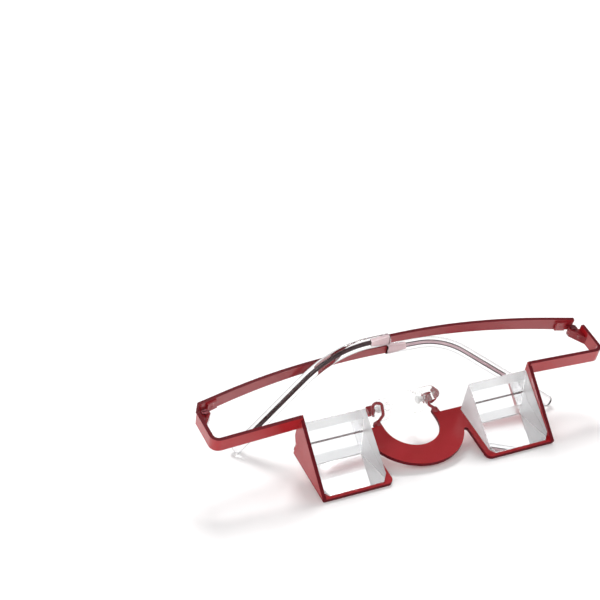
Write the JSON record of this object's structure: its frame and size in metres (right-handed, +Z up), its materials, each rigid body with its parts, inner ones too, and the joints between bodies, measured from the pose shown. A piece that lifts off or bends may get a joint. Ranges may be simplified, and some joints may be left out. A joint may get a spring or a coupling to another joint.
{
  "type": "belay prism glasses",
  "caption": "Folded belay glasses with clear prisms on a folded dark red metal front, soft nose saddle and hinged temples with clear sleeves bent behind the ear.",
  "frame": {"origin": "centre of the footprint of the folded glasses on the table, at table height", "axes": "+X to the right of the picture along the front, +Y from the prisms to the folded temples, +Z up"},
  "size_m": [0.14, 0.0424, 0.0337],
  "materials": {
    "dark_red_paint": "satin",
    "temple_paint": "satin",
    "optical_glass": "polished",
    "mirror_coat": "polished",
    "clear_silicone": "clear, matt",
    "stem_plastic": "clear",
    "clear_plastic": "clear",
    "screw_steel": "fine"
  },
  "bodies": {
    "front": {"front_frame": "dark_red_paint", "nose_saddle": "clear_silicone", "left_prism": "optical_glass", "left_mirror_coat": "mirror_coat", "left_nose_arm": "dark_red_paint", "left_nose_box": "dark_red_paint", "left_pad_stem": "stem_plastic", "left_pad_screw": "screw_steel", "left_end_hinge": "dark_red_paint", "left_hinge_screw": "screw_steel", "right_prism": "optical_glass", "right_mirror_coat": "mirror_coat", "right_nose_arm": "dark_red_paint", "right_nose_box": "dark_red_paint", "right_pad_stem": "stem_plastic", "right_pad_screw": "screw_steel", "right_end_hinge": "dark_red_paint", "right_hinge_screw": "screw_steel"},
    "left_temple": {"left_temple_hinge": "dark_red_paint", "left_temple_rivet": "dark_red_paint", "left_temple": "temple_paint", "left_sleeve": "clear_plastic"},
    "right_temple": {"right_temple_hinge": "dark_red_paint", "right_temple_rivet": "dark_red_paint", "right_temple": "temple_paint", "right_sleeve": "clear_plastic"}
  },
  "joints": [
    {"name": "left_temple_fold", "type": "hinge", "parent": "front", "child": "left_temple", "pos_m": [-0.06668, 0.00671, 0.0233], "axis": [-0.0593, -0.3512, 0.9344], "range_deg": [0, 77]},
    {"name": "right_temple_fold", "type": "hinge", "parent": "front", "child": "right_temple", "pos_m": [0.06668, 0.00671, 0.0233], "axis": [-0.0593, 0.3512, -0.9344], "range_deg": [0, 78]}
  ]
}
